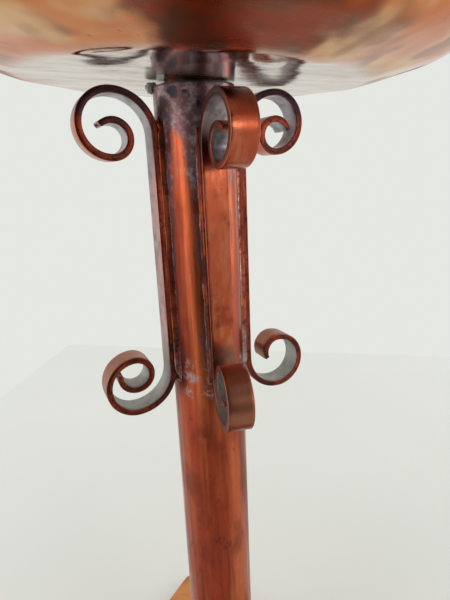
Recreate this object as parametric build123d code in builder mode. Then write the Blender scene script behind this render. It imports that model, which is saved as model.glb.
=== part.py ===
"""Copper fire pit: a bowl on a tube column with four scrolled straps and a square base.

A lift-off steel grate with two drop handles sits inside the bowl.
Millimetres, +Z up. The origin is on the floor, under the column's axis.
The straps stand near the X and Y axes, and the base plate is turned 38 degrees from them.
"""

import os
from math import cos, radians, sin, sqrt, tan

from build123d import *

# ---- Driving dimensions -------------------------------------------------------------

# Column
tube_radius = 21.0
tube_wall = 1.5
bowl_underside = 483.0  # height of the bowl's flat floor, outside face
bowl_gap = 2.2  # open joint between the tube's end and the bowl
tube_top = bowl_underside - bowl_gap
tube_bore = tube_radius - tube_wall

# Bowl, spun from sheet: flat floor, shallow cone, then one arc up to the rim
bowl_sheet = 1.5
bowl_floor_radius = 86.5
bowl_cone_slope = 16.0
bowl_cone_length = 31.5
bowl_wall_start = 26.0  # slope of the wall where the arc starts
bowl_wall_end = 62.0  # slope of the wall at the rim
bowl_wall_radius = 209.0
bowl_knee_radius = 25.0
rim_rod_radius = 4.0

# Joint between bowl and column
plug_height = 22.0
plug_stub_radius = 15.0
bolt_radius = 4.0
bolt_reach = 20.0  # how far the bolt goes below the bowl's floor
bolt_head_across = 13.0
bolt_head_height = 5.3
bolt_clearance = 0.1
washer_radius = 20.0
washer_thick = 2.0
tack_radius = 3.0
tack_angles = (26.0, 96.0, 166.0)

# Scrolled straps, bent from flat bar
strap_width = 13.5
strap_thick = 3.5
strap_bed = 1.4  # solder between the tube's crest and the strap's back
strap_drop = 2.5  # highest point of an upper scroll below the tube's end
strap_length = 170.5  # from there to the lowest point of the lower scroll
scroll_root_radius = 22.8  # bend where the strap leaves the column
scroll_outer_radius = 17.2
scroll_inner_radius = 10.4
solder_bead = 2.0

# Each strap is bent by hand: name, angle, rise of its top, rise of its foot, and how far the
# upper and the lower scroll are turned.
STRAPS = (
    ("front", 270.0, -4.2, 2.0, 490.0, 500.0),
    ("right", 3.0, 2.2, -2.9, 520.0, 385.0),
    ("back", 90.0, 0.0, 0.0, 500.0, 500.0),
    ("left", 182.0, 1.6, 0.8, 487.0, 545.0),
)

# Base: a square plate on four feet, bolted to a plug in the tube's lower end
base_side = 230.0
base_thick = 5.0
base_turn = 38.0  # angle from the X axis to the plate's sides
base_corner = 5.0
base_edge = 1.0
base_bead = 3.5
base_plug_height = 20.0
base_bolt_reach = 15.0  # how far the bolt goes above the plate
base_bolt_head_radius = 7.5
base_bolt_head_height = 2.8
foot_radius = 11.0
foot_thick = 4.0
foot_edge = 0.8
foot_inset = 18.0  # middle of a foot from the plate's sides

# Grate
grate_seat_slope = 50.0  # wall slope where the grate's ring lies against the bowl
grate_clearance = 0.4
grate_rod_radius = 4.0
bar_radius = 3.0
bar_pitch = 30.0
bars_each_side = 5
tie_width = 12.0
tie_thick = 3.0
tie_sink = 0.3
tie_offset = 75.0

# Drop handles
handle_rod_radius = 3.0
handle_inset = 31.0  # hinge line inside the middle of the grate's ring
handle_reach = 70.0
handle_bend = 12.0  # bend radius of the grip's corners
handle_gap = 0.4  # handle above the bars when it lies down
handle_side_gap = 0.5
pin_clearance = 0.08
pin_overhang = 3.0
lug_thick = 5.0
lug_width = 16.0

# ---- Derived places -----------------------------------------------------------------

tube_bottom = foot_thick + base_thick
strap_top = tube_top - strap_drop
strap_foot = strap_top - strap_length
strap_back = tube_radius + strap_bed
scroll_centre = strap_back + scroll_root_radius

cone_end = (
    bowl_floor_radius + bowl_cone_length * cos(radians(bowl_cone_slope)),
    bowl_underside + bowl_cone_length * sin(radians(bowl_cone_slope)),
)


def wall_point(slope, inset=0.0):
    """Point (radius, height) on the bowl's arc where it has this slope, moved inwards."""
    start, angle = radians(bowl_wall_start), radians(slope)
    return (
        cone_end[0] + bowl_wall_radius * (sin(angle) - sin(start)) - inset * sin(angle),
        cone_end[1] + bowl_wall_radius * (cos(start) - cos(angle)) + inset * cos(angle),
    )


rim_radius, rim_height = wall_point(bowl_wall_end, bowl_sheet / 2)
grate_radius, grate_height = wall_point(
    grate_seat_slope, bowl_sheet + grate_clearance + grate_rod_radius
)
handle_height = grate_height + bar_radius + handle_gap + handle_rod_radius
handle_pivot = grate_radius - handle_inset
lug_line = bar_pitch * 2
handle_leg_line = lug_line - lug_thick / 2 - handle_side_gap - handle_rod_radius

os.makedirs("parts", exist_ok=True)


def save(part, name):
    """Label a finished piece and write it under the same name."""
    part.label = name
    export_step(part, f"parts/{name}.step")


def upright(angle):
    """Plane through the column's axis: x runs outwards at this angle, y runs up."""
    outwards = (cos(radians(angle)), sin(radians(angle)), 0)
    return Plane(origin=(0, 0, 0), x_dir=outwards, z_dir=(outwards[1], -outwards[0], 0))


def level(angle, height):
    """Level plane on the axis, with x running outwards at this angle."""
    return Plane(
        origin=(0, 0, height), x_dir=(cos(radians(angle)), sin(radians(angle)), 0), z_dir=(0, 0, 1)
    )


# ---- Bowl ---------------------------------------------------------------------------


def bowl_line(inset):
    """Draw the bowl's outside profile, moved inwards by inset, in the current BuildLine."""
    slope = radians(bowl_cone_slope)
    knee_shift = inset * tan(slope / 2)
    join_slope = radians((bowl_cone_slope + bowl_wall_start) / 2)
    join_shift = inset / cos(radians(bowl_wall_start) - join_slope)
    join = (cone_end[0] - join_shift * sin(join_slope), cone_end[1] + join_shift * cos(join_slope))
    height = bowl_underside + inset
    FilletPolyline(
        (bolt_radius + bolt_clearance, height),
        (bowl_floor_radius - knee_shift, height),
        join,
        radius=bowl_knee_radius,
    )
    middle = wall_point((bowl_wall_start + bowl_wall_end) / 2, inset)
    ThreePointArc(join, middle, wall_point(bowl_wall_end, inset))


with BuildPart() as bowl:
    with BuildSketch(Plane.XZ):
        with BuildLine():
            bowl_line(0)
            bowl_line(bowl_sheet)
            Line(
                (bolt_radius + bolt_clearance, bowl_underside),
                (bolt_radius + bolt_clearance, bowl_underside + bowl_sheet),
            )
            Line(wall_point(bowl_wall_end), wall_point(bowl_wall_end, bowl_sheet))
        make_face()
    revolve(axis=Axis.Z)
save(bowl.part, "bowl")

with BuildPart() as rim_ring:
    with BuildSketch(Plane.XZ):
        with Locations((rim_radius, rim_height)):
            Circle(rim_rod_radius)
    revolve(axis=Axis.Z)
    add(bowl.part, mode=Mode.SUBTRACT)
save(rim_ring.part, "rim_ring")

# ---- Column and the joint under the bowl --------------------------------------------

with BuildPart() as column_tube:
    with BuildSketch(Plane.XY.offset(tube_bottom)):
        Circle(tube_radius)
        Circle(tube_bore, mode=Mode.SUBTRACT)
    extrude(amount=tube_top - tube_bottom)
save(column_tube.part, "column_tube")

with BuildPart() as top_plug:
    with BuildSketch(Plane.XY.offset(tube_top - plug_height)):
        Circle(tube_bore)
    extrude(amount=plug_height)
    with BuildSketch(Plane.XY.offset(tube_top)):
        Circle(plug_stub_radius)
    extrude(amount=bowl_gap)
    with BuildSketch(Plane.XY.offset(tube_top - plug_height)):
        Circle(bolt_radius + bolt_clearance)
    extrude(amount=plug_height + bowl_gap, mode=Mode.SUBTRACT)
save(top_plug.part, "top_plug")

washer_bottom = bowl_underside + bowl_sheet
with BuildPart() as bowl_washer:
    with BuildSketch(Plane.XY.offset(washer_bottom)):
        Circle(washer_radius)
        Circle(bolt_radius + bolt_clearance, mode=Mode.SUBTRACT)
    extrude(amount=washer_thick)
    chamfer(bowl_washer.edges().group_by(Axis.Z)[-1].sort_by(SortBy.RADIUS)[-1], 0.5)
save(bowl_washer.part, "bowl_washer")

head_bottom = washer_bottom + washer_thick
with BuildPart() as bowl_bolt:
    with BuildSketch(Plane.XY.offset(head_bottom)):
        RegularPolygon(bolt_head_across / 2, 6, major_radius=False)
    extrude(amount=bolt_head_height)
    with BuildSketch(Plane.XY.offset(bowl_underside - bolt_reach)):
        Circle(bolt_radius)
    extrude(amount=head_bottom - bowl_underside + bolt_reach)
save(bowl_bolt.part, "bowl_bolt")

# Three tacks of solder hold the tube's end to the bowl.
with BuildPart() as bowl_solder_tacks:
    for tack_angle in tack_angles:
        with Locations(level(tack_angle, tube_top).location * Pos(tube_radius + 0.4, 0, 0)):
            Sphere(tack_radius)
    with Locations((0, 0, bowl_underside)):
        Cylinder(
            tube_radius + 2 * tack_radius,
            2 * tack_radius,
            align=(Align.CENTER, Align.CENTER, Align.MIN),
            mode=Mode.SUBTRACT,
        )
    add(column_tube.part, mode=Mode.SUBTRACT)
    add(top_plug.part, mode=Mode.SUBTRACT)
save(bowl_solder_tacks.part, "bowl_solder_tacks")

# ---- Scrolled straps ----------------------------------------------------------------


def scroll_side(end, way, turned, inset):
    """Draw one face of a scroll, from the straight strap to the tip.

    end is the scroll's far height, way is 1 for the upper scroll and -1 for the lower one,
    turned is its whole turn in degrees, and inset is 0 on the back face of the bar.
    Returns the two ends of the line.
    """
    arcs = (
        (scroll_root_radius, 180.0, 90.0),
        (scroll_outer_radius, 90.0, 180.0),
        (scroll_inner_radius, -90.0, turned - 270.0),
    )
    for radius, start, sweep in arcs:
        drop = radius if start > 0 else 2 * scroll_outer_radius - scroll_inner_radius
        CenterArc((scroll_centre, end - way * drop), radius - inset, way * start, -way * sweep)
    tip_angle = radians(180.0 - turned)
    tip_centre = end - way * (2 * scroll_outer_radius - scroll_inner_radius)
    root = (strap_back + inset, end - way * scroll_root_radius)
    tip_reach = scroll_inner_radius - inset
    tip = (scroll_centre + tip_reach * cos(tip_angle), tip_centre + way * tip_reach * sin(tip_angle))
    return root, tip


for strap_name, strap_angle, top_rise, foot_rise, top_turned, foot_turned in STRAPS:
    top = strap_top + top_rise
    foot = strap_foot + foot_rise
    with BuildPart() as strap:
        with BuildSketch(upright(strap_angle)):
            with BuildLine():
                ends = {}
                for inset in (0.0, strap_thick):
                    upper_root, upper_tip = scroll_side(top, 1, top_turned, inset)
                    lower_root, lower_tip = scroll_side(foot, -1, foot_turned, inset)
                    Line(upper_root, lower_root)
                    ends[inset] = (upper_tip, lower_tip)
                Line(ends[0.0][0], ends[strap_thick][0])
                Line(ends[0.0][1], ends[strap_thick][1])
            make_face()
        extrude(amount=strap_width / 2, both=True)
    save(strap.part, f"scroll_strap_{strap_name}")

    # The seam fills the space behind the strap and has a bead along each of its edges.
    seam_low = foot + scroll_root_radius
    seam_high = top - scroll_root_radius
    half = strap_width / 2
    with BuildPart() as seam:
        with BuildSketch(level(strap_angle, seam_low)):
            with BuildLine():
                Polyline(
                    (tube_bore, -half - solder_bead),
                    (strap_back + solder_bead / 2, -half),
                    (strap_back, -half),
                    (strap_back, half),
                    (strap_back + solder_bead / 2, half),
                    (tube_bore, half + solder_bead),
                    close=True,
                )
            make_face()
            Circle(tube_radius, mode=Mode.SUBTRACT)
        extrude(amount=seam_high - seam_low)
    save(seam.part, f"solder_seam_{strap_name}")

# ---- Base ---------------------------------------------------------------------------

with BuildPart() as base_plate:
    with BuildSketch(Plane.XY.offset(foot_thick)) as base_outline:
        Rectangle(base_side, base_side, rotation=base_turn)
        fillet(base_outline.vertices(), base_corner)
    extrude(amount=base_thick)
    chamfer(base_plate.edges().group_by(Axis.Z)[-1], base_edge)
    with BuildSketch(Plane.XY.offset(foot_thick)):
        Circle(bolt_radius + bolt_clearance)
    extrude(amount=base_thick, mode=Mode.SUBTRACT)
save(base_plate.part, "base_plate")

with BuildPart() as base_plug:
    with BuildSketch(Plane.XY.offset(tube_bottom)):
        Circle(tube_bore)
        Circle(bolt_radius + bolt_clearance, mode=Mode.SUBTRACT)
    extrude(amount=base_plug_height)
save(base_plug.part, "base_plug")

with BuildPart() as base_bolt:
    with BuildSketch(Plane.XY.offset(foot_thick - base_bolt_head_height)):
        Circle(base_bolt_head_radius)
    extrude(amount=base_bolt_head_height)
    chamfer(base_bolt.edges().group_by(Axis.Z)[0], foot_edge)
    with BuildSketch(Plane.XY.offset(foot_thick)):
        Circle(bolt_radius)
    extrude(amount=base_thick + base_bolt_reach)
save(base_bolt.part, "base_bolt")

# A bead of solder runs round the tube's foot.
with BuildPart() as base_solder:
    with BuildSketch(Plane.XZ):
        with BuildLine():
            Polyline(
                (tube_radius, tube_bottom),
                (tube_radius + base_bead, tube_bottom),
                (tube_radius, tube_bottom + base_bead),
                close=True,
            )
        make_face()
    revolve(axis=Axis.Z)
save(base_solder.part, "base_solder")

foot_reach = (base_side / 2 - foot_inset) * sqrt(2)
for foot_name, corner in (("back", 45.0), ("left", 135.0), ("front", 225.0), ("right", 315.0)):
    with BuildPart() as base_foot:
        with BuildSketch(level(base_turn + corner, 0)):
            with Locations((foot_reach, 0)):
                Circle(foot_radius)
        extrude(amount=foot_thick)
        chamfer(base_foot.edges().group_by(Axis.Z)[0], foot_edge)
    save(base_foot.part, f"base_foot_{foot_name}")

# ---- Grate --------------------------------------------------------------------------

with BuildPart() as grate_ring:
    with BuildSketch(Plane.XZ):
        with Locations((grate_radius, grate_height)):
            Circle(grate_rod_radius)
    revolve(axis=Axis.Z)
save(grate_ring.part, "grate_ring")

bars = {}
for step in range(-bars_each_side, bars_each_side + 1):
    bar_line = step * bar_pitch
    reach = sqrt(grate_radius**2 - bar_line**2)
    with BuildPart() as bar:
        with BuildSketch(Plane.YZ.offset(-reach)):
            with Locations((bar_line, grate_height)):
                Circle(bar_radius)
        extrude(amount=2 * reach)
        add(grate_ring.part, mode=Mode.SUBTRACT)
        # Only the length inside the ring is kept.
        middle = bar.solids().sort_by(SortBy.VOLUME)[-1]
        add(middle, mode=Mode.INTERSECT)
    bars[step] = bar.part
    save(bar.part, f"grate_bar_{step + bars_each_side + 1:02d}")

tie_top = grate_height - bar_radius + tie_sink
for tie_name, tie_x in (("left", -tie_offset), ("right", tie_offset)):
    with BuildPart() as tie:
        with BuildSketch(Plane.XY.offset(tie_top - tie_thick)):
            with Locations((tie_x, 0)):
                Rectangle(tie_width, 2 * grate_radius)
            # The strip ends under the ring's rod, clear of the bowl.
            Circle(grate_radius, mode=Mode.INTERSECT)
        extrude(amount=tie_thick)
        add(grate_ring.part, mode=Mode.SUBTRACT)
        for bar_part in bars.values():
            add(bar_part, mode=Mode.SUBTRACT)
        middle = tie.solids().sort_by(SortBy.VOLUME)[-1]
        add(middle, mode=Mode.INTERSECT)
    save(tie.part, f"grate_tie_{tie_name}")

# ---- Drop handles and their lugs ----------------------------------------------------

for side_name, side in (("left", -1), ("right", 1)):
    hinge_x = side * handle_pivot
    for end_name, end in (("front", -1), ("back", 1)):
        with BuildPart() as lug:
            with BuildSketch(Plane.XZ.offset(-end * lug_line)):
                with Locations((hinge_x, handle_height)):
                    Circle(lug_width / 2)
                with Locations((hinge_x, (handle_height + grate_height) / 2)):
                    Rectangle(lug_width, handle_height - grate_height)
                with Locations((hinge_x, handle_height)):
                    Circle(handle_rod_radius + pin_clearance, mode=Mode.SUBTRACT)
            extrude(amount=lug_thick / 2, both=True)
            add(bars[end * 2], mode=Mode.SUBTRACT)
        save(lug.part, f"handle_lug_{side_name}_{end_name}")

    pin_end = lug_line + lug_thick / 2 + pin_overhang
    grip_x = side * (handle_pivot - handle_reach)
    with BuildPart() as handle:
        with BuildLine() as handle_path:
            FilletPolyline(
                (hinge_x, -pin_end, handle_height),
                (hinge_x, -handle_leg_line, handle_height),
                (grip_x, -handle_leg_line, handle_height),
                (grip_x, handle_leg_line, handle_height),
                (hinge_x, handle_leg_line, handle_height),
                (hinge_x, pin_end, handle_height),
                radius=(handle_rod_radius, handle_bend, handle_bend, handle_rod_radius),
            )
        with BuildSketch(Plane(origin=handle_path.line @ 0, z_dir=handle_path.line % 0)):
            Circle(handle_rod_radius)
        sweep()
    save(handle.part, f"grate_handle_{side_name}")

print("bowl rim radius", round(rim_radius, 2), "height", round(rim_height, 2))
print("grate ring radius", round(grate_radius, 2), "height", round(grate_height, 2))
print("handle hinge height", round(handle_height, 2), "distance", round(handle_pivot, 2))
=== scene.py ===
"""Looks of the copper fire pit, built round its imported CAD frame. Metres, +Z up, -Y front."""

from math import atan2, cos, pi, radians, sin, sqrt, tan

import bmesh
import bpy
from mathutils import Matrix, Vector, noise


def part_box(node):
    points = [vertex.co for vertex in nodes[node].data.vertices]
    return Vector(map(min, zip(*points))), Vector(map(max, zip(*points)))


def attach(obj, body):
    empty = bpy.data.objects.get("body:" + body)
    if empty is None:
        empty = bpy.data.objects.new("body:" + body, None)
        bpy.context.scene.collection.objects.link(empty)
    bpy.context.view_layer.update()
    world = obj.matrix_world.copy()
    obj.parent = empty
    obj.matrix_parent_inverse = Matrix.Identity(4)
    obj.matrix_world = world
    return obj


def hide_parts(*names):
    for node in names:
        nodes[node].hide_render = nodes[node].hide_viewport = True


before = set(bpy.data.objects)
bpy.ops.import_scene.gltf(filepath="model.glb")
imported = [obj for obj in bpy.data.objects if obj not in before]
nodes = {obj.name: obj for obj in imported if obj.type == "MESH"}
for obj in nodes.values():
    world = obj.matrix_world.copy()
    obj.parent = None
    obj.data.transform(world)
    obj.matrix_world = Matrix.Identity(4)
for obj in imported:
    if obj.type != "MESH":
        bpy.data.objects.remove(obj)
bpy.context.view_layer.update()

# ---- Camera -------------------------------------------------------------------------

tube_low, tube_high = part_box("column_tube")
TUBE_RADIUS = (tube_high.x - tube_low.x) / 2
TUBE_TOP = tube_high.z
seam_low, seam_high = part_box("solder_seam_front")
SEAM_LOW, SEAM_HIGH = seam_low.z, seam_high.z
BOWL_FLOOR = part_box("bowl")[0].z

CAMERA_TURN = 19.4  # degrees from the front, towards -X
CAMERA_AZIMUTH = radians(CAMERA_TURN)
CAMERA_DISTANCE = 12.5 * TUBE_RADIUS
CAMERA_DROP = 0.04  # below the top of the column
YAW, PITCH, ROLL = radians(21.93), radians(15.8), radians(2.42)
SENSOR_WIDTH, LENS = 36.0, 28.2  # millimetres

camera_data = bpy.data.cameras.new("camera")
camera_data.sensor_width = SENSOR_WIDTH
camera_data.lens = LENS
camera_data.clip_start = 0.01
camera = bpy.data.objects.new("camera", camera_data)
bpy.context.scene.collection.objects.link(camera)
bpy.context.scene.camera = camera

eye_x = -CAMERA_DISTANCE * sin(CAMERA_AZIMUTH)
eye_y = -CAMERA_DISTANCE * cos(CAMERA_AZIMUTH)
eye = Vector((eye_x, eye_y, TUBE_TOP - CAMERA_DROP))
ahead = Vector((sin(YAW) * cos(PITCH), cos(YAW) * cos(PITCH), -sin(PITCH)))
right = Vector((cos(YAW), -sin(YAW), 0))
down = ahead.cross(right)
image_right = right * cos(ROLL) + down * sin(ROLL)
image_down = down * cos(ROLL) - right * sin(ROLL)
turn = Matrix((image_right, -image_down, -ahead)).transposed()
camera.matrix_world = Matrix.Translation(eye) @ turn.to_4x4()


# ---- Material helper ----------------------------------------------------------------


class Look:
    """Writes one material's nodes. A value is a number, a colour or another node's output."""

    def __init__(self, name):
        self.material = bpy.data.materials.new(name)
        self.material.use_nodes = True
        self.tree = self.material.node_tree
        self.tree.nodes.clear()
        self.output = self.tree.nodes.new("ShaderNodeOutputMaterial")
        self.place = self.tree.nodes.new("ShaderNodeTexCoord").outputs["Object"]

    def put(self, socket, value):
        if isinstance(value, bpy.types.NodeSocket):
            self.tree.links.new(value, socket)
        elif isinstance(value, tuple) and len(value) == 3 and socket.type == "RGBA":
            socket.default_value = (*value, 1.0)
        else:
            socket.default_value = value

    def node(self, kind, inputs=(), **settings):
        made = self.tree.nodes.new(kind)
        for key, value in settings.items():
            setattr(made, key, value)
        for key, value in dict(inputs).items():
            self.put(made.inputs[key], value)
        return made

    def stretch(self, scale, place=None, rotation=(0, 0, 0)):
        """The piece's own coordinates, scaled per axis: a small scale draws the pattern out."""
        vector = self.place if place is None else place
        return self.node(
            "ShaderNodeMapping", {"Vector": vector, "Scale": scale, "Rotation": rotation}
        ).outputs[0]

    def noise(self, scale, detail=3.0, rough=0.55, place=None, wobble=0.0):
        inputs = {
            "Vector": self.place if place is None else place,
            "Scale": scale,
            "Detail": detail,
            "Roughness": rough,
            "Distortion": wobble,
        }
        return self.node("ShaderNodeTexNoise", inputs).outputs["Fac"]

    def cells(self, scale):
        inputs = {"Vector": self.place, "Scale": scale}
        return self.node("ShaderNodeTexVoronoi", inputs).outputs["Distance"]

    def ramp(self, value, low, high, to_low=0.0, to_high=1.0):
        """value between low and high becomes to_low to to_high, and is held outside them."""
        inputs = {0: value, 1: low, 2: high, 3: to_low, 4: to_high}
        made = self.node("ShaderNodeMapRange", inputs, interpolation_type="SMOOTHSTEP")
        return made.outputs[0]

    def sum(self, operation, a, b=0.0):
        return self.node("ShaderNodeMath", {0: a, 1: b}, operation=operation).outputs[0]

    def add(self, a, b):
        return self.sum("ADD", a, b)

    def times(self, a, b):
        return self.sum("MULTIPLY", a, b)

    def plus(self, value, *parts):
        """value with each (part, weight) added to it."""
        for part, weight in parts:
            value = self.add(value, self.times(part, weight))
        return value

    def most(self, values):
        """The largest of several values."""
        largest = None
        for value in values:
            largest = value if largest is None else self.sum("MAXIMUM", largest, value)
        return largest

    def from_axis(self, x, y):
        """Distance from the column's axis."""
        return self.sum("SQRT", self.add(self.times(x, x), self.times(y, y)))

    def attribute(self, name, output="Fac"):
        return self.node("ShaderNodeAttribute", attribute_name=name).outputs[output]

    def mix(self, amount, a, b):
        """Colour a where amount is 0, and colour b where it is 1."""
        inputs = {0: amount, 6: a, 7: b}
        return self.node("ShaderNodeMix", inputs, data_type="RGBA").outputs[2]

    def axis(self, which):
        return self.node("ShaderNodeSeparateXYZ", {0: self.place}).outputs[which]

    def vector(self, operation, *inputs, output=0):
        made = self.node("ShaderNodeVectorMath", enumerate(inputs), operation=operation)
        return made.outputs[output]

    def spot(self, centre, radius, edge=0.5, ragged=0.004, scale=160.0):
        """1 inside a ragged round patch about centre, and 0 outside it."""
        inputs = {"Vector": self.place, "Scale": scale, "Detail": 3.0}
        blur = self.node("ShaderNodeTexNoise", inputs).outputs["Color"]
        shift = self.vector("SUBTRACT", blur, (0.5, 0.5, 0.5))
        moved = self.vector("MULTIPLY_ADD", shift, (2 * ragged,) * 3, self.place)
        away = self.vector("DISTANCE", moved, centre, output="Value")
        return self.ramp(away, radius * edge, radius, 1.0, 0.0)

    def bumps(self, *layers):
        """Bumps (height, strength, distance) one on another, the first one lowest."""
        normal = None
        for height, strength, distance in layers:
            inputs = {"Height": height, "Strength": strength, "Distance": distance}
            if normal is not None:
                inputs["Normal"] = normal
            normal = self.node("ShaderNodeBump", inputs).outputs[0]
        return normal

    def finish(self, colour, metallic, roughness, normal=None, **extra):
        """Links the shader and returns the material; extra names the shader's other sockets."""
        inputs = {"Base Color": colour, "Metallic": metallic, "Roughness": roughness}
        if normal is not None:
            inputs["Normal"] = normal
        inputs.update({key.replace("_", " "): value for key, value in extra.items()})
        shader = self.node("ShaderNodeBsdfPrincipled", inputs)
        self.tree.links.new(shader.outputs[0], self.output.inputs["Surface"])
        return self.material


# ---- Copper and solder colours (linear) ---------------------------------------------

COPPER = (0.62, 0.20, 0.08)
PATINA = (0.40, 0.085, 0.04)
PATINA_DEEP = (0.16, 0.026, 0.014)
OXIDE = (0.035, 0.02, 0.022)
OXIDE_BLUE = (0.018, 0.022, 0.04)
FLUX = (0.15, 0.10, 0.125)
FLUX_PALE = (0.44, 0.38, 0.41)
TIN = (0.42, 0.40, 0.41)
TIN_DARK = (0.19, 0.18, 0.19)
TIN_GREEN = (0.34, 0.37, 0.33)
TIN_BROWNED = (0.33, 0.33, 0.27)

POLISHED, POLISHED_RED = (0.62, 0.225, 0.075), (0.56, 0.155, 0.042)
# Painted sheen colour for pale streaks of reflected light on the bowl's cone
PAINTED_SHEEN = (0.70, 0.46, 0.24)
# Painted dark reflection colours for sectors of the bowl's cone
DARK_REFLECTION_RED, DARK_REFLECTION_BROWN = (0.27, 0.042, 0.008), (0.15, 0.055, 0.020)
# Painted reflection colours: the pale table seen in the bowl's flat floor
FLOOR_REFLECTION, FLOOR_REFLECTION_DARK = (0.68, 0.61, 0.55), (0.46, 0.39, 0.33)
HEAT_VIOLET = (0.16, 0.09, 0.10)
TUBE_MAROON, TUBE_ORANGE = (0.38, 0.056, 0.022), (0.56, 0.128, 0.042)
EDGE_STAIN = (0.10, 0.05, 0.05)
# Painted shade colour for the tube's top edge in the gap under the bowl
TOP_EDGE_SHADE = (0.010, 0.008, 0.008)
STRAP_POLISHED = (0.50, 0.15, 0.075)
# Painted shade colour for the tops of the scrolls under the bowl
TOP_SHADE = (0.075, 0.026, 0.024)
FOOT_BROWN = (0.25, 0.125, 0.085)
# Painted shade colour for the open face under the scrolls
SCROLL_SHADE = (0.085, 0.05, 0.06)
# Painted sheen colours: the base plate made golden for the light it catches from above
GOLDEN_SHEEN, GOLDEN_SHEEN_RED = (0.62, 0.27, 0.10), (0.50, 0.15, 0.05)
SOLDER_LIGHT, SOLDER_DARK = (0.52, 0.48, 0.47), (0.25, 0.21, 0.22)
SOLDER_RED, SOLDER_BLACK = (0.10, 0.03, 0.022), (0.045, 0.028, 0.03)
TACK_GREY = (0.74, 0.72, 0.67)
SEAM_LIGHT, SEAM_DARK = (0.50, 0.45, 0.44), (0.22, 0.18, 0.19)
BOLT_BRIGHT, BOLT_BROWN = (0.55, 0.54, 0.52), (0.30, 0.24, 0.17)
RUST, RUST_DARK = (0.20, 0.07, 0.025), (0.10, 0.035, 0.018)
SCALE_GREY = (0.30, 0.28, 0.26)
GRATE_BLACK, HANDLE_BLACK = (0.028, 0.026, 0.025), (0.035, 0.032, 0.030)


# Sectors of the bowl's cone painted with a dark reflection: the first, by the camera's side, stands
# for the dark room behind the camera, and the others repeat it round the cone. Their middle and
# half width in degrees
DARK_REFLECTION_SECTORS = ((259.5, 17.5), (340.0, 9.0), (78.0, 16.0), (158.0, 10.0))
SECTOR_BLUR = 3.0


def polished_bowl():
    """Polished copper outside: a painted pale grey reflection by the column, painted pale streaks
    of reflected light and brown streaks on the cone, and painted dark reflections in sectors of the
    cone.
    """
    look = Look("bowl_copper")
    x, y = look.axis(0), look.axis(1)
    radius = look.from_axis(x, y)
    broad = look.noise(14, 3, 0.5, wobble=0.6)
    cloud = look.noise(55, 4, 0.6)
    rubbed = look.stretch((0.5, 1.6, 1.0), rotation=(0, 0, 0.4))
    rub = look.noise(60, 5, 0.7, place=rubbed, wobble=0.5)
    fine = look.noise(900, 2, 0.5, place=look.stretch((0.2, 1.0, 0.2), rotation=(0, 0, 0.35)))
    colour = look.mix(look.ramp(broad, 0.35, 0.68), POLISHED, POLISHED_RED)
    colour = look.mix(look.ramp(cloud, 0.52, 0.72, 0.0, 0.5), colour, PATINA)
    specks = look.ramp(look.noise(260, 4, 0.6), 0.66, 0.74, 0.0, 0.55)
    colour = look.mix(specks, colour, PATINA_DEEP)
    # Streaks run outwards from the column: pale ones are a painted sheen of reflected light where
    # the facets meet, brown ones are where heat reached.
    round_x, round_y = look.sum("DIVIDE", x, radius), look.sum("DIVIDE", y, radius)
    outwards = look.node(
        "ShaderNodeCombineXYZ", {0: round_x, 1: round_y, 2: look.times(radius, 9.0)}
    ).outputs[0]
    ray = look.noise(3.4, 2, 0.5, place=outwards)
    ray_brown = look.noise(4.6, 2, 0.5, place=look.stretch((1.0, 1.0, 0.9), place=outwards))
    on_cone = look.ramp(radius, 0.083, 0.091)
    # Painted sheen: pale streaks of reflected light across the cone
    pale = look.times(look.ramp(ray, 0.46, 0.68, 0.0, 0.8), on_cone)
    colour = look.mix(pale, colour, PAINTED_SHEEN)
    brown = look.times(look.ramp(ray_brown, 0.52, 0.68, 0.0, 0.6), on_cone)
    colour = look.mix(brown, colour, PATINA_DEEP)
    sectors = []
    for angle, half_width in DARK_REFLECTION_SECTORS:
        along_x = look.times(round_x, cos(radians(angle)))
        along_y = look.times(round_y, sin(radians(angle)))
        ragged = look.ramp(ray_brown, 0.3, 0.7, -0.016, 0.016)
        toward = look.add(look.add(along_x, along_y), ragged)
        outer_edge = cos(radians(half_width + SECTOR_BLUR))
        inner_edge = cos(radians(half_width - SECTOR_BLUR))
        sectors.append(look.ramp(toward, outer_edge, inner_edge))
    # Painted dark reflection: the sectors darken the cone reddish brown
    dark_reflection = look.times(look.most(sectors), on_cone)
    dark_reflection_colour = look.mix(look.ramp(cloud, 0.38, 0.62), DARK_REFLECTION_RED, DARK_REFLECTION_BROWN)
    colour = look.mix(dark_reflection, colour, dark_reflection_colour)
    # The flat floor round the column is painted pale grey, a painted reflection of the table,
    # mottled by the rub pattern.
    floor_reflection_edge = look.add(radius, look.ramp(broad, 0.2, 0.8, -0.006, 0.006))
    floor_reflection = look.ramp(floor_reflection_edge, 0.078, 0.094, 0.9, 0.0)
    floor_reflection_colour = look.mix(look.ramp(rub, 0.36, 0.70), FLOOR_REFLECTION, FLOOR_REFLECTION_DARK)
    colour = look.mix(floor_reflection, colour, floor_reflection_colour)
    rough = look.ramp(fine, 0.3, 0.7, 0.07, 0.14)
    rough = look.add(rough, look.ramp(rub, 0.4, 0.7, 0.0, 0.06))
    rough = look.plus(rough, (pale, 0.12), (dark_reflection, 0.16))
    rough = look.add(rough, look.ramp(radius, 0.030, 0.062, 0.11, 0.0))
    normal = look.bumps((broad, 0.25, 0.004), (fine, 0.04, 0.0003), (rub, 0.06, 0.0006))
    return look.finish(colour, 1.0, rough, normal)


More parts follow.
